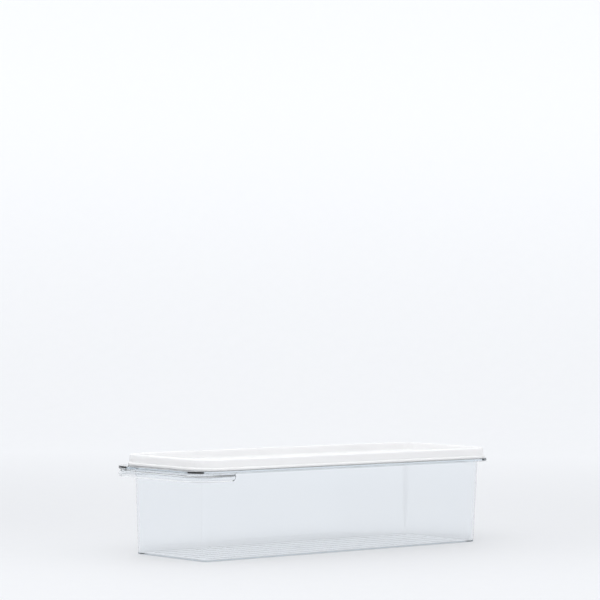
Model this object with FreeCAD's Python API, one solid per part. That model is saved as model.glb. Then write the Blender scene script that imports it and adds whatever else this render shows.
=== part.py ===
import FreeCAD, Part
import math
import os

from FreeCAD import Vector

# Fridge bin: a long clear tub with a pull lip at its front end, and a white lid that lifts off.
#
# Frame: the origin is the middle of the base, on the surface that the bin stands on.
# X runs along the bin, with the pull lip at -X. Y runs across it. Z is up. All in millimetres.

# --- Tub: walls and floor -------------------------------------------------------------------
BASE_HALF_LENGTH = 186.3  # outer faces of the walls, where they would meet the ground
BASE_HALF_WIDTH = 54.3
WALL_LEAN = 2.7  # each wall leans out by this much up to RIM_REFERENCE
RIM_REFERENCE = 90.0
WALL_TOP = 89.7
WALL_CORNER = 7.0  # upright corners of the tub, outside
WALL = 1.8
FLOOR = 1.6
BASE_ROUNDING = 1.0  # outer edge between walls and floor
INNER_ROUNDING = 0.8

# --- Tub: ribs along the floor ----------------------------------------------------------------
RIB_COUNT = 6
RIB_SPACING = 15.5
RIB_HALF_LENGTH = 173.0
RIB_WIDTH = 1.8
RIB_HEIGHT = 0.4
RIB_END_ROUNDING = 0.88

# --- Tub: round mark where the plastic ran into the mould ---------------------------------------
GATE_X = -18.5
GATE_RADIUS = 2.4
GATE_HEIGHT = 0.5

# --- Tub: flange round the mouth --------------------------------------------------------------
FLANGE_TOP = 88.8
FLANGE_PLATE = 2.2
FLANGE_EDGE = 3.0  # the outer edge is a deeper bead
FLANGE_BEAD = 2.6
FLANGE_BACK = 201.3
FLANGE_FRONT = -210.0
FLANGE_HALF_WIDTH = 69.3
FLANGE_CORNER = 26.0
FLANGE_ROUNDING = 0.4

# --- Tub: rolled pull lip under the front of the flange ------------------------------------------
ROLL_RADIUS = 3.75  # outside of the roll, which ends level with the flange's edge
ROLL_HEIGHT = 81.3
ROLL_WALL = 1.8
ROLL_END_ANGLE = -60.0
ROLL_NECK_ANGLE = 70.0
SIDE_RUN_TOP = -158.0  # the lip turns both corners and stops on the long sides at a sloping end
SIDE_RUN_BOTTOM = -163.0

# --- Lid ---------------------------------------------------------------------------------------
LID_TOP = 100.0
LID_BOTTOM = 88.9
LID_HALF_LENGTH = 198.0
LID_HALF_WIDTH = 66.0
LID_CORNER = 23.0
LID_LEAN = 0.5  # the skirt narrows by this much towards its top
LID_WALL = 1.6
LID_TOP_ROUNDING = 1.5
LIP_STANDOUT = 1.2  # bead along the foot of the skirt
LIP_HEIGHT = 2.8
LIP_ROUNDING = 1.0
RIM_WIDTH = 6.0  # raised rim round the recessed panel
PANEL_TOP = 91.8
PANEL = 1.8
RECESS_ROUNDING = 1.5
RECESS_LEAN = 0.4

# --- Lid: ring that hangs inside the mouth of the tub --------------------------------------------
RING_BOTTOM = 88.5  # a shallow ring, which only has to stop the lid from sliding about
RING_WALL = 1.6
RING_GAP = 0.5

CLEAR = 1.0  # how far a cutting body runs past the faces that it cuts


def outline(x_low, x_high, half_width, corner, z):
    """Wire of a rectangle with round corners, flat at height z."""
    near = half_width - corner
    points = []
    for centre_x, centre_y, start in (
        (x_high - corner, near, 0),
        (x_low + corner, near, 90),
        (x_low + corner, -near, 180),
        (x_high - corner, -near, 270),
    ):
        for turn in (0, 45, 90):
            angle = math.radians(start + turn)
            x = centre_x + corner * math.cos(angle)
            y = centre_y + corner * math.sin(angle)
            points.append(Vector(x, y, z))
    edges = []
    for first in range(0, len(points), 3):
        edges.append(Part.Arc(*points[first:first + 3]).toShape())
        edges.append(Part.LineSegment(points[first + 2], points[(first + 3) % len(points)]).toShape())
    return Part.Wire(edges)


def centred_outline(half_length, half_width, corner, z):
    """Wire of a round-cornered rectangle about the Z axis."""
    return outline(-half_length, half_length, half_width, corner, z)


def upright(wire, height):
    """Solid that stands straight up from a flat wire."""
    return Part.Face(wire).extrude(Vector(0, 0, height))


def leaning(low_wire, high_wire):
    """Solid with straight sides from one flat wire to another above it."""
    return Part.makeLoft([low_wire, high_wire], True, True)


def level_edges(shape, z, tolerance=0.01):
    """Every edge of a shape that lies flat at height z."""
    found = []
    for edge in shape.Edges:
        box = edge.BoundBox
        if abs(box.ZMin - z) < tolerance and abs(box.ZMax - z) < tolerance:
            found.append(edge)
    return found


def wall_wire(z, inset):
    """Wire of the tub's walls at height z, moved in from their outer faces by inset."""
    lean = WALL_LEAN * z / RIM_REFERENCE - inset
    half_length = BASE_HALF_LENGTH + lean
    half_width = BASE_HALF_WIDTH + lean
    return centred_outline(half_length, half_width, WALL_CORNER - inset, z)


def make_flange():
    """Flat flange round the mouth, reaching further out at the front, with a deeper outer bead."""
    bottom = FLANGE_TOP - FLANGE_EDGE
    outer = outline(FLANGE_FRONT, FLANGE_BACK, FLANGE_HALF_WIDTH, FLANGE_CORNER, bottom)
    flange = upright(outer, FLANGE_EDGE)
    rounded = level_edges(flange, FLANGE_TOP) + level_edges(flange, bottom)
    flange = flange.makeFillet(FLANGE_ROUNDING, rounded)
    hollow_wire = outline(
        FLANGE_FRONT + FLANGE_BEAD,
        FLANGE_BACK - FLANGE_BEAD,
        FLANGE_HALF_WIDTH - FLANGE_BEAD,
        FLANGE_CORNER - FLANGE_BEAD,
        bottom,
    )
    return flange.cut(upright(hollow_wire, FLANGE_EDGE - FLANGE_PLATE))


def roll_point(radius, degrees):
    """Point on the roll's section: how far out from the flange's edge, and how high."""
    angle = math.radians(degrees)
    return -ROLL_RADIUS + radius * math.cos(angle), ROLL_HEIGHT + radius * math.sin(angle)


def roll_section():
    """Face of the pull lip's section, drawn on the near side at X = 0."""
    inner_radius = ROLL_RADIUS - ROLL_WALL
    neck_out, neck_height = roll_point(ROLL_RADIUS, ROLL_NECK_ANGLE)
    neck_in = neck_out - ROLL_WALL
    inner_end = math.degrees(math.acos((neck_in + ROLL_RADIUS) / inner_radius))
    middle = (ROLL_END_ANGLE + ROLL_NECK_ANGLE) / 2
    plate_middle = FLANGE_TOP - FLANGE_PLATE / 2

    def place(out, height):
        return Vector(0, -(FLANGE_HALF_WIDTH + out), height)

    outer_low = place(*roll_point(ROLL_RADIUS, ROLL_END_ANGLE))
    outer_high = place(neck_out, neck_height)
    neck_top_out = place(neck_out, plate_middle)
    neck_top_in = place(neck_in, plate_middle)
    inner_high = place(*roll_point(inner_radius, inner_end))
    inner_low = place(*roll_point(inner_radius, ROLL_END_ANGLE))
    outer_middle = place(*roll_point(ROLL_RADIUS, middle))
    inner_middle = place(*roll_point(inner_radius, middle))
    edges = [
        Part.Arc(outer_low, outer_middle, outer_high).toShape(),
        Part.LineSegment(outer_high, neck_top_out).toShape(),
        Part.LineSegment(neck_top_out, neck_top_in).toShape(),
        Part.LineSegment(neck_top_in, inner_high).toShape(),
        Part.Arc(inner_high, inner_middle, inner_low).toShape(),
        Part.LineSegment(inner_low, outer_low).toShape(),
    ]
    return Part.Face(Part.Wire(edges))


def make_pull_lip():
    """Rolled lip below the flange: across the front, round both corners and a little way back."""
    corner_x = FLANGE_FRONT + FLANGE_CORNER
    corner_y = FLANGE_HALF_WIDTH - FLANGE_CORNER
    section = roll_section()
    section.translate(Vector(corner_x, 0, 0))
    side = section.extrude(Vector(SIDE_RUN_TOP - corner_x, 0, 0))
    turn = section.revolve(Vector(corner_x, -corner_y, 0), Vector(0, 0, 1), -90)
    front_section = section.copy()
    front_section.rotate(Vector(corner_x, -corner_y, 0), Vector(0, 0, 1), -90)
    half_front = front_section.extrude(Vector(0, corner_y, 0))

    lip_bottom = ROLL_HEIGHT - ROLL_RADIUS
    slope = (SIDE_RUN_TOP - SIDE_RUN_BOTTOM) / (FLANGE_TOP - lip_bottom)
    near_side = -FLANGE_HALF_WIDTH - CLEAR
    corners = [
        Vector(SIDE_RUN_BOTTOM - slope * CLEAR, near_side, lip_bottom - CLEAR),
        Vector(SIDE_RUN_TOP, near_side, FLANGE_TOP),
        Vector(SIDE_RUN_TOP + CLEAR, near_side, FLANGE_TOP),
        Vector(SIDE_RUN_TOP + CLEAR, near_side, lip_bottom - CLEAR),
    ]
    wedge = Part.Face(Part.makePolygon(corners + corners[:1]))
    side = side.cut(wedge.extrude(Vector(0, FLANGE_HALF_WIDTH, 0)))

    near_half = side.fuse([turn, half_front])
    far_half = near_half.mirror(Vector(0, 0, 0), Vector(0, 1, 0))
    return near_half.fuse(far_half)


def make_rib(y):
    """One low rib along the floor, with round ends."""
    wire = centred_outline(RIB_HALF_LENGTH, RIB_WIDTH / 2, RIB_END_ROUNDING, 0)
    rib = upright(wire, RIB_HEIGHT + FLOOR / 2)
    rib.translate(Vector(0, y, FLOOR / 2))
    return rib


def make_gate_mark():
    """Small round pip on the floor, between the two middle ribs."""
    return Part.makeCylinder(GATE_RADIUS, GATE_HEIGHT + FLOOR / 2, Vector(GATE_X, 0, FLOOR / 2))


def make_tub():
    """The clear tub, moulded in one piece."""
    outside = leaning(wall_wire(0, 0), wall_wire(WALL_TOP, 0))
    outside = outside.makeFillet(BASE_ROUNDING, level_edges(outside, 0))
    inside = leaning(wall_wire(FLOOR, WALL), wall_wire(WALL_TOP + CLEAR, WALL))
    inside = inside.makeFillet(INNER_ROUNDING, level_edges(inside, FLOOR))
    tub = outside.fuse([make_flange(), make_pull_lip()]).removeSplitter()
    tub = tub.cut(inside)
    first = -RIB_SPACING * (RIB_COUNT - 1) / 2
    ribs = [make_rib(first + RIB_SPACING * number) for number in range(RIB_COUNT)]
    return tub.fuse(ribs + [make_gate_mark()]).removeSplitter()


def lid_wire(inset, z):
    """Wire of the lid's skirt at height z, moved in from its outer face by inset."""
    return centred_outline(LID_HALF_LENGTH - inset, LID_HALF_WIDTH - inset, LID_CORNER - inset, z)


def make_lid():
    """The white lid: a panel with a raised hollow rim, a skirt with a bead, and a ring below."""
    lip_top = LID_BOTTOM + LIP_HEIGHT
    skirt = leaning(lid_wire(0, LID_BOTTOM), lid_wire(LID_LEAN, LID_TOP))
    skirt = skirt.makeFillet(LID_TOP_ROUNDING, level_edges(skirt, LID_TOP))
    lip = upright(lid_wire(-LIP_STANDOUT, LID_BOTTOM), LIP_HEIGHT)
    lip = lip.makeFillet(LIP_ROUNDING, level_edges(lip, lip_top))
    lid = skirt.fuse(lip)

    recess_low = lid_wire(RIM_WIDTH + RECESS_LEAN, PANEL_TOP)
    recess = leaning(recess_low, lid_wire(RIM_WIDTH, LID_TOP + CLEAR))
    recess = recess.makeFillet(RECESS_ROUNDING, level_edges(recess, PANEL_TOP))
    lid = lid.cut(recess)

    below = upright(lid_wire(LID_WALL, LID_BOTTOM), PANEL_TOP - PANEL - LID_BOTTOM)
    channel_height = LID_TOP - LID_WALL - LID_BOTTOM
    channel = upright(lid_wire(LID_LEAN + LID_WALL, LID_BOTTOM), channel_height)
    rim_inner_wall = RIM_WIDTH + RECESS_LEAN - LID_WALL
    channel = channel.cut(upright(lid_wire(rim_inner_wall, LID_BOTTOM), channel_height))
    lid = lid.cut([below, channel])

    ring_inset = WALL + RING_GAP
    ring_height = PANEL_TOP - PANEL / 2 - RING_BOTTOM
    ring_low = wall_wire(RING_BOTTOM, ring_inset)
    ring_hole = wall_wire(RING_BOTTOM, ring_inset + RING_WALL)
    ring = upright(ring_low, ring_height).cut(upright(ring_hole, ring_height))
    return lid.fuse(ring).removeSplitter()


def save(shape, node):
    """Write one piece as a STEP file named after its node."""
    solid = shape.Solids[0]
    print(node, "solids", len(shape.Solids), "valid", solid.isValid(), "volume", round(solid.Volume))
    solid.exportStep("parts/" + node + ".step")


os.makedirs("parts", exist_ok=True)
save(make_tub(), "tub")
save(make_lid(), "lid")
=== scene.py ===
import math

import bmesh
import bpy
from mathutils import Matrix, Vector


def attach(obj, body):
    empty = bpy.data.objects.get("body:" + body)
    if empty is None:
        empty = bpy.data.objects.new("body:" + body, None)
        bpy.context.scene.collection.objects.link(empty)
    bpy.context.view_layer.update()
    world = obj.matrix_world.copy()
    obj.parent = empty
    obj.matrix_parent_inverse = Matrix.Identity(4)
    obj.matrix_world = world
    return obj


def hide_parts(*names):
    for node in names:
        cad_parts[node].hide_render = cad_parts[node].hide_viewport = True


# A clear fridge bin with a white lid, standing on a pale studio sweep.
# Everything is in metres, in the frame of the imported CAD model: the bin stands on Z = 0 about the
# origin, X runs along it with the pull lip at -X, and Z is up.

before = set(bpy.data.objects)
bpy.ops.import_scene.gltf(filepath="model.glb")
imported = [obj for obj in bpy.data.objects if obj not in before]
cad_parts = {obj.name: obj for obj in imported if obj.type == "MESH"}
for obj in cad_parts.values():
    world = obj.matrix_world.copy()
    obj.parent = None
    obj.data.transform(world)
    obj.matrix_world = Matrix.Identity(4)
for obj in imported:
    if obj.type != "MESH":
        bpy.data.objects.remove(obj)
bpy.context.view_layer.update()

# --- Sizes of the two mouldings, in millimetres, as in the CAD part ---------------------------------
MM = 0.001
BASE_HALF_LENGTH = 186.3
BASE_HALF_WIDTH = 54.3
WALL_LEAN = 2.7 / 90.0  # each wall leans out by this much for each unit of height
WALL_TOP = 89.7
WALL_CORNER = 7.0
WALL = 1.8
FLOOR = 1.6
BASE_ROUNDING = 1.0
INNER_ROUNDING = 0.8
RIB_COUNT = 6
RIB_SPACING = 15.5
RIB_HALF_LENGTH = 173.0
RIB_WIDTH = 1.8
RIB_HEIGHT = 0.4
GATE_X = -18.5
GATE_RADIUS = 2.4
GATE_HEIGHT = 0.5
FLANGE_TOP = 88.8
FLANGE_PLATE = 2.2
FLANGE_EDGE = 3.0
FLANGE_BEAD = 2.6
FLANGE_BACK = 201.3
FLANGE_FRONT = -210.0
FLANGE_HALF_WIDTH = 69.3
FLANGE_CORNER = 26.0
FLANGE_ROUNDING = 0.4
ROLL_RADIUS = 3.75
ROLL_HEIGHT = 81.3
ROLL_WALL = 1.8
ROLL_END_ANGLE = math.radians(-60)
ROLL_NECK_ANGLE = math.radians(70)
SIDE_RUN_TOP = -158.0
SIDE_RUN_BOTTOM = -163.0
LID_TOP = 100.0
LID_BOTTOM = 88.9
LID_HALF_LENGTH = 198.0
LID_HALF_WIDTH = 66.0
LID_CORNER = 23.0
LID_LEAN = 0.5 / (LID_TOP - LID_BOTTOM)
LID_WALL = 1.6
LID_TOP_ROUNDING = 1.5
LIP_STANDOUT = 1.2
LIP_HEIGHT = 2.8
LIP_ROUNDING = 1.0
RIM_WIDTH = 6.0
PANEL_TOP = 91.8
PANEL = 1.8
RECESS_ROUNDING = 1.5
RECESS_LEAN = 0.4
RING_BOTTOM = 88.5
RING_WALL = 1.6
RING_GAP = 0.5
EDGE_SOFTENING = 0.3  # moulded edges are never quite sharp

CORNER_STEPS = 16  # how finely round stretches are cut up
ROUNDING_STEPS = 6
ROLL_STEPS = 14
SHARP_ANGLE = math.radians(35)
FLAT_FACE_WEIGHT = 100  # the most, so that large faces keep their own normals
PAD_ROUNDNESS = 0.98  # share of a pad's half width that its round ends take

# --- Camera ----------------------------------------------------------------------------------------
CAMERA_PLACE = Vector((-1.8755, -2.0769, 0.26345))
CAMERA_TURN = math.radians(41.81)  # from the +Y axis towards +X
CAMERA_DIP = math.radians(0.19)
CAMERA_ROLL = math.radians(0.52)
SENSOR_WIDTH = 36.0  # in millimetres, as the lens is
LENS = 163.5
CAMERA_REACH = 50.0

# --- Clear plastic ---------------------------------------------------------------------------------
CLEAR_IOR = 1.57
CLEAR_TINTS = ((0.965, 0.978, 0.989, 1), (0.983, 0.99, 0.996, 1))
CLEAR_DEPTH_COLOUR = (0.4, 0.54, 0.64, 1)  # what long paths through the plastic turn to
CLEAR_DEPTH_DENSITY = 18.0  # per metre
HAZE_SCALE = 14.0  # cycles per metre, as for every scale below
HAZE_ROUGHNESS = 0.03
WAVE_SCALE = 9.0
WAVE_STRETCH = (0.35, 1.0, 1.6)  # the waves run along the bin, the way the plastic flowed
WAVE_HEIGHT = 0.0001

# --- White plastic ---------------------------------------------------------------------------------
WHITE_IOR = 1.49
WHITE_COLOURS = ((0.915, 0.918, 0.925, 1), (0.935, 0.936, 0.94, 1))
WHITE_ROUGHNESS = (0.4, 0.48)
CLOUD_SCALE = 7.0
GRAIN_SCALE = 2600.0
GRAIN_HEIGHT = 0.00002
GRAIN_STRENGTH = 0.6
SINK_SCALE = 6.0
SINK_HEIGHT = 0.0005
WHITE_SCATTER = 0.002  # how far light spreads inside

# --- Sweep: one sheet of paper for floor and back --------------------------------------------------
FLOOR_NEAR = -4.0  # the flat floor runs from here to FLOOR_FAR along the camera's heading
FLOOR_FAR = 1.6
SWEEP_RADIUS = 0.9
SWEEP_STEPS = 16
SWEEP_TOP = 4.0
SWEEP_HALF_WIDTH = 4.0
PAPER_COLOURS = ((0.33, 0.333, 0.343, 1), (0.35, 0.353, 0.363, 1))
PAPER_ROUGHNESS = 0.8
FIBRE_SCALE = 60.0
# Painted light: the paper glows though it is no lamp, lifting the shadows round the bin; it is brighter
# to the far side and up the back and dips just behind the bin as painted shade.
PAINTED_LIGHT_COLOUR = (0.955, 0.975, 1.0, 1)
PAINTED_LIGHT_NEAR = (-0.35, 0.3, 0.055, 0.0)  # each band of painted light: from here, to here, from this strength, to this one
PAINTED_LIGHT_FAR = (0.3, 2.2, 0.452, 0.57)
PAINTED_LIGHT_UP = (0.0, 0.7, 0.0, 0.12)

# --- Surroundings and lights -----------------------------------------------------------------------
LOW_SKY = (0.6, 0.605, 0.62, 1)
BRIGHT_SKY = (1.15, 1.155, 1.17, 1)
HIGH_SKY = (0.6, 0.605, 0.62, 1)
DARK_END = (0.04, 0.045, 0.06, 1)
BRIGHT_FROM = (0.05, 0.35)  # sines of the height angles between which one sky turns into the next
HIGH_FROM = (0.45, 0.95)
DARK_WIDTH = (1.0, 0.6)  # radians off the camera's back between which the dark end sets in
DARK_HEIGHT = (0.15, 0.45)  # height angles in radians between which it fades out again
KEY_TURN = CAMERA_TURN + math.radians(190)  # a little to the side of the camera's back
KEY_RISE = math.radians(46)
KEY_BOX = {"distance": 3.2, "size": 2.6, "power": 34}
OVERHEAD_RISE = math.radians(86)
OVERHEAD_BOX = {"distance": 2.6, "size": 2.2, "power": 7}


def heading(turn):
    """Level unit vector that is turned from +Y towards +X."""
    return Vector((math.sin(turn), math.cos(turn), 0))


def add_object(name, data):
    """Put new data into the scene as an object."""
    obj = bpy.data.objects.new(name, data)
    bpy.context.scene.collection.objects.link(obj)
    return obj


# --- Moulded shapes --------------------------------------------------------------------------------
def ring(x_low, x_high, half_width, corner, z):
    """Points round a rectangle with round corners at height z, in metres."""
    near = half_width - corner
    points = []
    for centre_x, centre_y, quarter in (
        (x_high - corner, near, 0),
        (x_low + corner, near, 1),
        (x_low + corner, -near, 2),
        (x_high - corner, -near, 3),
    ):
        for step in range(CORNER_STEPS + 1):
            angle = math.pi / 2 * (quarter + step / CORNER_STEPS)
            x = centre_x + corner * math.cos(angle)
            y = centre_y + corner * math.sin(angle)
            points.append(Vector((x, y, z)) * MM)
    return points


def wall_ring(inset, z, lean_height=None):
    """Ring that lies inset from the tub's outer wall at height z."""
    out = WALL_LEAN * (z if lean_height is None else lean_height) - inset
    half_length = BASE_HALF_LENGTH + out
    return ring(-half_length, half_length, BASE_HALF_WIDTH + out, WALL_CORNER - inset, z)


def flange_ring(inset, z):
    """Ring that lies inset from the flange's outer edge."""
    half_width = FLANGE_HALF_WIDTH - inset
    return ring(FLANGE_FRONT + inset, FLANGE_BACK - inset, half_width, FLANGE_CORNER - inset, z)


def lid_ring(inset, z):
    """Ring that lies inset from the foot of the lid's skirt."""
    half_length = LID_HALF_LENGTH - inset
    return ring(-half_length, half_length, LID_HALF_WIDTH - inset, LID_CORNER - inset, z)


def arc(make_ring, inset, z, radius, start, end):
    """Rings along an arc in the section. Angle 0 points out from the middle and 90 degrees up."""
    rings = []
    for step in range(ROUNDING_STEPS + 1):
        angle = math.radians(start + (end - start) * step / ROUNDING_STEPS)
        rings.append(make_ring(inset - radius * math.cos(angle), z + radius * math.sin(angle)))
    return rings


def loft(mesh, rings):
    """Faces from each ring to the next. Gives back the corners of the first and the last ring."""
    corners = [[mesh.verts.new(point) for point in points] for points in rings]
    for low, high in zip(corners, corners[1:]):
        for i in range(len(low)):
            j = (i + 1) % len(low)
            mesh.faces.new((low[i], low[j], high[j], high[i]))
    return corners[0], corners[-1]


def capped_loft(mesh, rings):
    """A closed solid through rings, with a flat face at each end."""
    first, last = loft(mesh, rings)
    mesh.faces.new(first)
    mesh.faces.new(last)


def finish_mesh(mesh, name):
    """A mesh object with outward faces."""
    bmesh.ops.recalc_face_normals(mesh, faces=mesh.faces)
    data = bpy.data.meshes.new(name)
    mesh.to_mesh(data)
    mesh.free()
    return add_object(name, data)


def settle(piece):
    """Bake a piece's modifiers into its mesh."""
    graph = bpy.context.evaluated_depsgraph_get()
    data = bpy.data.meshes.new_from_object(piece.evaluated_get(graph), depsgraph=graph)
    piece.modifiers.clear()
    piece.data = data


def smooth(piece):
    """Round stretches shade smoothly, and flat faces stay flat right up to their edges."""
    piece.data.polygons.foreach_set("use_smooth", [True] * len(piece.data.polygons))
    piece.data.set_sharp_from_angle(angle=SHARP_ANGLE)
    weighting = piece.modifiers.new("flat faces first", "WEIGHTED_NORMAL")
    weighting.keep_sharp = True
    weighting.weight = FLAT_FACE_WEIGHT
    settle(piece)


def tub_body():
    """Walls, floor and flange of the tub, from the outside of the base round to the floor inside."""
    lean_angle = math.degrees(math.atan(WALL_LEAN))
    lean_length = math.hypot(1, WALL_LEAN)
    plate_bottom = FLANGE_TOP - FLANGE_PLATE
    edge_bottom = FLANGE_TOP - FLANGE_EDGE
    soft = EDGE_SOFTENING

    def base_ring(inset, z):
        # The inset is counted from the wall's foot, so that the arc meets the leaning wall.
        return wall_ring(inset + WALL_LEAN * z, z)

    base_inset = BASE_ROUNDING * lean_length - WALL_LEAN * BASE_ROUNDING
    inner_centre = FLOOR + INNER_ROUNDING
    inner_inset = WALL + INNER_ROUNDING * lean_length - WALL_LEAN * inner_centre
    rings = arc(base_ring, base_inset, BASE_ROUNDING, BASE_ROUNDING, -90, -lean_angle)
    rings.append(wall_ring(0, plate_bottom))
    rings.append(flange_ring(FLANGE_BEAD, plate_bottom))
    rings += arc(flange_ring, FLANGE_BEAD - soft, edge_bottom + soft, soft, 180, 270)
    edge_radius = FLANGE_ROUNDING
    rings += arc(flange_ring, edge_radius, edge_bottom + edge_radius, edge_radius, -90, 0)
    rings += arc(flange_ring, edge_radius, FLANGE_TOP - edge_radius, edge_radius, 0, 90)
    rings.append(wall_ring(0, FLANGE_TOP))
    rings += arc(wall_ring, soft, WALL_TOP - soft, soft, 0, 90)
    rings += arc(wall_ring, WALL - soft, WALL_TOP - soft, soft, 90, 180)
    rings += arc(base_ring, inner_inset, inner_centre, INNER_ROUNDING, -lean_angle, -90)
    mesh = bmesh.new()
    capped_loft(mesh, rings)
    return finish_mesh(mesh, "tub_shell")


def roll_section():
    """Outer and inner points of the pull lip's section: how far out from the flange's edge, how high."""
    inner_radius = ROLL_RADIUS - ROLL_WALL
    neck_out = -ROLL_RADIUS + ROLL_RADIUS * math.cos(ROLL_NECK_ANGLE)
    neck_in = neck_out - ROLL_WALL
    inner_end = math.acos((neck_in + ROLL_RADIUS) / inner_radius)
    neck_top = FLANGE_TOP - FLANGE_PLATE / 2
    outer_side = (ROLL_RADIUS, ROLL_NECK_ANGLE, neck_out)
    inner_side = (inner_radius, inner_end, neck_in)
    sides = []
    for radius, end, neck in (outer_side, inner_side):
        side = []
        for step in range(ROLL_STEPS + 1):
            angle = ROLL_END_ANGLE + (end - ROLL_END_ANGLE) * step / ROLL_STEPS
            out = -ROLL_RADIUS + radius * math.cos(angle)
            side.append((out, ROLL_HEIGHT + radius * math.sin(angle)))
        sides.append(side + [(neck, neck_top)])
    return sides


def add_pull_lip(mesh):
    """The rolled lip: along the near side, round the front and back along the far side."""
    outer, inner = roll_section()
    section = outer + inner[::-1]
    corner_x = FLANGE_FRONT + FLANGE_CORNER
    corner_y = FLANGE_HALF_WIDTH - FLANGE_CORNER
    slope = (SIDE_RUN_TOP - SIDE_RUN_BOTTOM) / (FLANGE_TOP - (ROLL_HEIGHT - ROLL_RADIUS))

    def end_ring(side):
        points = []
        for out, height in section:
            x = SIDE_RUN_TOP - slope * (FLANGE_TOP - height)
            points.append(Vector((x, side * (FLANGE_HALF_WIDTH + out), height)) * MM)
        return points

    def turn_ring(side, turn):
        points = []
        for out, height in section:
            radius = FLANGE_CORNER + out
            x = corner_x - radius * math.sin(turn)
            points.append(Vector((x, side * (corner_y + radius * math.cos(turn)), height)) * MM)
        return points

    turns = [math.pi / 2 * step / CORNER_STEPS for step in range(CORNER_STEPS + 1)]
    rings = [end_ring(-1)] + [turn_ring(-1, turn) for turn in turns]
    rings += [turn_ring(1, turn) for turn in reversed(turns)] + [end_ring(1)]
    for corners in loft(mesh, rings):
        for i in range(len(outer) - 1):
            mesh.faces.new((corners[i], corners[i + 1], corners[-2 - i], corners[-1 - i]))


def add_pad(mesh, x_low, x_high, y, half_width, height):
    """A low raised shape on the floor with round ends and a soft upper edge."""
    soft = EDGE_SOFTENING
    top = FLOOR + height

    def pad_ring(inset, z):
        half = half_width - inset
        points = ring(x_low + inset, x_high - inset, half, half * PAD_ROUNDNESS, z)
        return [point + Vector((0, y * MM, 0)) for point in points]

    capped_loft(mesh, [pad_ring(0, FLOOR / 2)] + arc(pad_ring, soft, top - soft, soft, 0, 90))


def make_tub():
    """The clear tub in one closed skin: its body joined with the pull lip, the ribs and the gate mark."""
    tub = tub_body()
    mesh = bmesh.new()
    add_pull_lip(mesh)
    first = -RIB_SPACING * (RIB_COUNT - 1) / 2
    for number in range(RIB_COUNT):
        y = first + RIB_SPACING * number
        add_pad(mesh, -RIB_HALF_LENGTH, RIB_HALF_LENGTH, y, RIB_WIDTH / 2, RIB_HEIGHT)
    add_pad(mesh, GATE_X - GATE_RADIUS, GATE_X + GATE_RADIUS, 0, GATE_RADIUS, GATE_HEIGHT)
    additions = finish_mesh(mesh, "additions")
    join = tub.modifiers.new("join", "BOOLEAN")
    join.operation = "UNION"
    join.solver = "EXACT"
    join.object = additions
    settle(tub)
    bpy.data.objects.remove(additions)
    smooth(tub)
    return tub


def make_lid():
    """The white lid in one closed skin, from the panel's underside round to its top."""
    soft = EDGE_SOFTENING
    underside = PANEL_TOP - PANEL
    channel_top = LID_TOP - LID_WALL
    lip_top = LID_BOTTOM + LIP_HEIGHT
    ring_inset = WALL + RING_GAP

    def locating_ring(inset, z):
        return wall_ring(inset, z, RING_BOTTOM)

    def skirt_inset(z):
        return LID_LEAN * (z - LID_BOTTOM)

    def recess_inset(z):
        return RIM_WIDTH + RECESS_LEAN * (LID_TOP - z) / (LID_TOP - PANEL_TOP)

    lean_angle = math.degrees(math.atan(LID_LEAN))
    top_centre = LID_TOP - LID_TOP_ROUNDING
    top_inset = skirt_inset(top_centre) + LID_TOP_ROUNDING * math.hypot(1, LID_LEAN)
    low_centre = PANEL_TOP + RECESS_ROUNDING
    low_inset = recess_inset(low_centre) + RECESS_ROUNDING
    rings = [locating_ring(ring_inset + RING_WALL, underside)]
    rings += arc(locating_ring, ring_inset + RING_WALL - soft, RING_BOTTOM + soft, soft, 180, 270)
    rings += arc(locating_ring, ring_inset + soft, RING_BOTTOM + soft, soft, -90, 0)
    rings.append(locating_ring(ring_inset, underside))
    rings.append(lid_ring(RIM_WIDTH + RECESS_LEAN - LID_WALL, underside))
    rings.append(lid_ring(RIM_WIDTH + RECESS_LEAN - LID_WALL, channel_top))
    rings.append(lid_ring(skirt_inset(LID_TOP) + LID_WALL, channel_top))
    rings.append(lid_ring(skirt_inset(LID_TOP) + LID_WALL, underside))
    rings.append(lid_ring(LID_WALL, underside))
    rings += arc(lid_ring, LID_WALL - soft, LID_BOTTOM + soft, soft, 180, 270)
    rings += arc(lid_ring, soft - LIP_STANDOUT, LID_BOTTOM + soft, soft, -90, 0)
    rings += arc(lid_ring, LIP_ROUNDING - LIP_STANDOUT, lip_top - LIP_ROUNDING, LIP_ROUNDING, 0, 90)
    rings.append(lid_ring(skirt_inset(lip_top), lip_top))
    rings += arc(lid_ring, top_inset, top_centre, LID_TOP_ROUNDING, lean_angle, 90)
    rings += arc(lid_ring, recess_inset(LID_TOP) - soft, LID_TOP - soft, soft, 90, 180)
    rings += arc(lid_ring, low_inset, low_centre, RECESS_ROUNDING, 0, -90)
    mesh = bmesh.new()
    capped_loft(mesh, rings)
    lid = finish_mesh(mesh, "lid_shell")
    smooth(lid)
    return lid


def place(piece, node, body, slot, material):
    """A finished piece stands for its CAD node, rides on its body and takes its material."""
    piece.data.materials.append(material)
    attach(piece, body)
    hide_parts(node)


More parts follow.
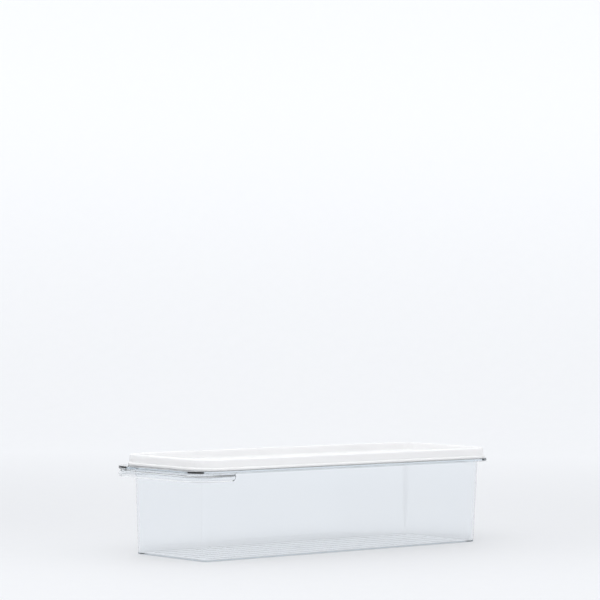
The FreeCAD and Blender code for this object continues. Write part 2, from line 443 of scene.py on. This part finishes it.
class Nodes:
    """Short way to write a node tree: each call adds a node and joins its inputs."""

    def __init__(self, tree):
        self.tree = tree

    def add(self, kind, inputs=None, **settings):
        node = self.tree.nodes.new(kind)
        for name, value in settings.items():
            setattr(node, name, value)
        for name, value in (inputs or {}).items():
            if isinstance(value, bpy.types.NodeSocket):
                self.tree.links.new(value, node.inputs[name])
            else:
                node.inputs[name].default_value = value
        return node

    def ramp(self, value, low, high, from_value, to_value):
        """A number that eases from one value to another while the input goes from low to high."""
        inputs = {"Value": value, "From Min": low, "From Max": high}
        inputs.update({"To Min": from_value, "To Max": to_value})
        node = self.add("ShaderNodeMapRange", inputs, interpolation_type="SMOOTHSTEP")
        return node.outputs["Result"]

    def mix(self, factor, first, second):
        """A colour between two colours."""
        node = self.add("ShaderNodeMix", data_type="RGBA")
        colours = [socket for socket in node.inputs if socket.type == "RGBA"]
        factor_socket = node.inputs["Factor"]
        for socket, value in zip([factor_socket] + colours, [factor, first, second]):
            if isinstance(value, bpy.types.NodeSocket):
                self.tree.links.new(value, socket)
            else:
                socket.default_value = value
        return [socket for socket in node.outputs if socket.type == "RGBA"][0]

    def maths(self, operation, first, second):
        """A number worked out from two numbers."""
        node = self.add("ShaderNodeMath", {0: first, 1: second}, operation=operation)
        return node.outputs["Value"]

    def along(self, place, direction):
        """How far a place lies along a direction."""
        node = self.add("ShaderNodeVectorMath", {0: place, 1: direction}, operation="DOT_PRODUCT")
        return node.outputs["Value"]

    def noise(self, place, scale, detail=2.0, stretch=(1.0, 1.0, 1.0)):
        """Smooth noise from 0 to 1, with its scale in cycles per metre."""
        mapped = self.add("ShaderNodeMapping", {"Vector": place, "Scale": stretch})
        inputs = {"Vector": mapped.outputs["Vector"], "Scale": scale, "Detail": detail}
        return self.add("ShaderNodeTexNoise", inputs).outputs["Fac"]

    def bump(self, height, distance, strength=1.0, normal=None):
        """A normal that is tilted by a height, given in metres."""
        inputs = {"Height": height, "Distance": distance, "Strength": strength}
        if normal is not None:
            inputs["Normal"] = normal
        return self.add("ShaderNodeBump", inputs).outputs["Normal"]


def new_material(name):
    """An empty principled material, its node helper and its shader."""
    material = bpy.data.materials.new(name)
    material.use_nodes = True
    return material, Nodes(material.node_tree), material.node_tree.nodes["Principled BSDF"]


# --- Materials -------------------------------------------------------------------------------------
def clear_plastic():
    """Moulded clear polystyrene: a cool tint, gentle flow waves, and faint haze from handling."""
    material, nodes, shader = new_material("clear_plastic")
    place = nodes.add("ShaderNodeTexCoord").outputs["Object"]
    haze = nodes.noise(place, HAZE_SCALE, 3.0)
    waves = nodes.noise(place, WAVE_SCALE, 1.0, stretch=WAVE_STRETCH)
    tint = nodes.mix(haze, *CLEAR_TINTS)
    roughness = nodes.ramp(haze, 0.35, 0.75, 0.0, HAZE_ROUGHNESS)
    links = nodes.tree.links
    links.new(tint, shader.inputs["Base Color"])
    links.new(roughness, shader.inputs["Roughness"])
    links.new(nodes.bump(waves, WAVE_HEIGHT), shader.inputs["Normal"])
    shader.inputs["IOR"].default_value = CLEAR_IOR
    shader.inputs["Transmission Weight"].default_value = 1.0
    depth_inputs = {"Color": CLEAR_DEPTH_COLOUR, "Density": CLEAR_DEPTH_DENSITY}
    depth = nodes.add("ShaderNodeVolumeAbsorption", depth_inputs)
    output = nodes.tree.nodes["Material Output"]
    links.new(depth.outputs["Volume"], output.inputs["Volume"])
    return material


def white_plastic():
    """Moulded white polypropylene: satin, slightly see-through, with a fine spark-eroded grain."""
    material, nodes, shader = new_material("white_plastic")
    place = nodes.add("ShaderNodeTexCoord").outputs["Object"]
    cloud = nodes.noise(place, CLOUD_SCALE, 3.0)
    grain = nodes.noise(place, GRAIN_SCALE)
    sink = nodes.noise(place, SINK_SCALE, 1.0)
    normal = nodes.bump(grain, GRAIN_HEIGHT, GRAIN_STRENGTH, nodes.bump(sink, SINK_HEIGHT))
    links = nodes.tree.links
    links.new(nodes.mix(cloud, *WHITE_COLOURS), shader.inputs["Base Color"])
    links.new(nodes.ramp(cloud, 0.3, 0.7, *WHITE_ROUGHNESS), shader.inputs["Roughness"])
    links.new(normal, shader.inputs["Normal"])
    shader.inputs["IOR"].default_value = WHITE_IOR
    shader.inputs["Subsurface Weight"].default_value = 1.0
    shader.inputs["Subsurface Radius"].default_value = (1.0, 1.0, 1.0)
    shader.inputs["Subsurface Scale"].default_value = WHITE_SCATTER
    return material


def sweep_paper_painted_light():
    """Matt grey paper that glows with painted light, which makes it look pale blue-white and lifts its
    shadows: brighter to the far side and up the back, with painted shade where the light dips just behind
    the bin.
    """
    material, nodes, shader = new_material("sweep_paper_painted_light")
    place = nodes.add("ShaderNodeTexCoord").outputs["Object"]
    height = nodes.add("ShaderNodeSeparateXYZ", {"Vector": place}).outputs["Z"]
    reach = nodes.along(place, heading(CAMERA_TURN))
    fibres = nodes.noise(place, FIBRE_SCALE, 3.0)
    # Painted light and shade: the paper's emission dips just behind the bin and grows to the far side and
    # up the back.
    level = nodes.maths("ADD", nodes.ramp(reach, *PAINTED_LIGHT_NEAR), nodes.ramp(reach, *PAINTED_LIGHT_FAR))
    painted_glow = nodes.maths("ADD", level, nodes.ramp(height, *PAINTED_LIGHT_UP))
    links = nodes.tree.links
    links.new(nodes.mix(fibres, *PAPER_COLOURS), shader.inputs["Base Color"])
    links.new(painted_glow, shader.inputs["Emission Strength"])
    shader.inputs["Emission Color"].default_value = PAINTED_LIGHT_COLOUR
    shader.inputs["Roughness"].default_value = PAPER_ROUGHNESS
    return material


# --- Studio ----------------------------------------------------------------------------------------
def make_sweep():
    """Floor and back in one piece: flat, then a quarter round, then upright."""
    turns = [math.pi / 2 * step / SWEEP_STEPS for step in range(SWEEP_STEPS + 1)]
    rounded = [
        (FLOOR_FAR + SWEEP_RADIUS * math.sin(turn), SWEEP_RADIUS * (1 - math.cos(turn)))
        for turn in turns
    ]
    profile = [(FLOOR_NEAR, 0.0)] + rounded + [(FLOOR_FAR + SWEEP_RADIUS, SWEEP_TOP)]
    ahead = heading(CAMERA_TURN)
    aside = heading(CAMERA_TURN + math.pi / 2) * SWEEP_HALF_WIDTH
    points = []
    for distance, height in profile:
        middle = ahead * distance + Vector((0, 0, height))
        points += [middle - aside, middle + aside]
    faces = [(i, i + 1, i + 3, i + 2) for i in range(0, len(points) - 2, 2)]
    mesh = bpy.data.meshes.new("sweep")
    mesh.from_pydata(points, [], faces)
    mesh.polygons.foreach_set("use_smooth", [True] * len(faces))
    mesh.materials.append(sweep_paper_painted_light())
    add_object("sweep", mesh)


def make_world():
    """Soft white surroundings, with the dark end of the studio low down behind the camera."""
    world = bpy.data.worlds.new("studio")
    bpy.context.scene.world = world
    world.use_nodes = True
    nodes = Nodes(world.node_tree)
    place = nodes.add("ShaderNodeTexCoord").outputs["Generated"]
    direction = nodes.add("ShaderNodeVectorMath", {0: place}, operation="NORMALIZE").outputs["Vector"]
    height = nodes.add("ShaderNodeSeparateXYZ", {"Vector": direction}).outputs["Z"]
    behind = nodes.along(direction, -heading(CAMERA_TURN))
    wide, narrow = DARK_WIDTH
    beside = nodes.ramp(behind, math.cos(wide), math.cos(narrow), 0.0, 1.0)
    low, high = DARK_HEIGHT
    below = nodes.ramp(height, math.sin(low), math.sin(high), 1.0, 0.0)
    sky = nodes.mix(nodes.ramp(height, *HIGH_FROM, 0.0, 1.0), BRIGHT_SKY, HIGH_SKY)
    sky = nodes.mix(nodes.ramp(height, *BRIGHT_FROM, 0.0, 1.0), LOW_SKY, sky)
    colour = nodes.mix(nodes.maths("MULTIPLY", beside, below), sky, DARK_END)
    nodes.tree.links.new(colour, world.node_tree.nodes["Background"].inputs["Color"])


def make_softbox(name, turn, rise, distance, size, power):
    """A square soft light that faces the bin from a heading and a height angle."""
    light = bpy.data.lights.new(name, "AREA")
    light.energy = power
    light.size = size
    softbox = add_object(name, light)
    direction = heading(turn) * math.cos(rise) + Vector((0, 0, math.sin(rise)))
    softbox.location = direction * distance
    softbox.rotation_euler = direction.to_track_quat("Z", "Y").to_euler()
    # Only its soft light counts: its square outline would show as hard glints in the clear plastic.
    softbox.visible_glossy = False
    softbox.visible_transmission = False


def make_camera():
    """Camera in front of the bin's near corner, a little above the lid."""
    camera = bpy.data.cameras.new("camera")
    camera.sensor_width = SENSOR_WIDTH
    camera.lens = LENS
    camera.clip_end = CAMERA_REACH
    ahead = heading(CAMERA_TURN) * math.cos(CAMERA_DIP) - Vector((0, 0, math.sin(CAMERA_DIP)))
    level_right = heading(CAMERA_TURN + math.pi / 2)
    right = Matrix.Rotation(-CAMERA_ROLL, 3, ahead) @ level_right
    up = right.cross(ahead)
    holder = add_object("camera", camera)
    facing = Matrix((right, up, -ahead)).transposed().to_4x4()
    holder.matrix_world = Matrix.Translation(CAMERA_PLACE) @ facing
    bpy.context.scene.camera = holder


place(make_tub(), "tub", "bin", "clear_plastic", clear_plastic())
place(make_lid(), "lid", "lid", "white_plastic", white_plastic())
make_sweep()
make_world()
make_softbox("key", KEY_TURN, KEY_RISE, **KEY_BOX)
make_softbox("top", CAMERA_TURN, OVERHEAD_RISE, **OVERHEAD_BOX)
make_camera()
bpy.context.scene.view_settings.view_transform = "Standard"
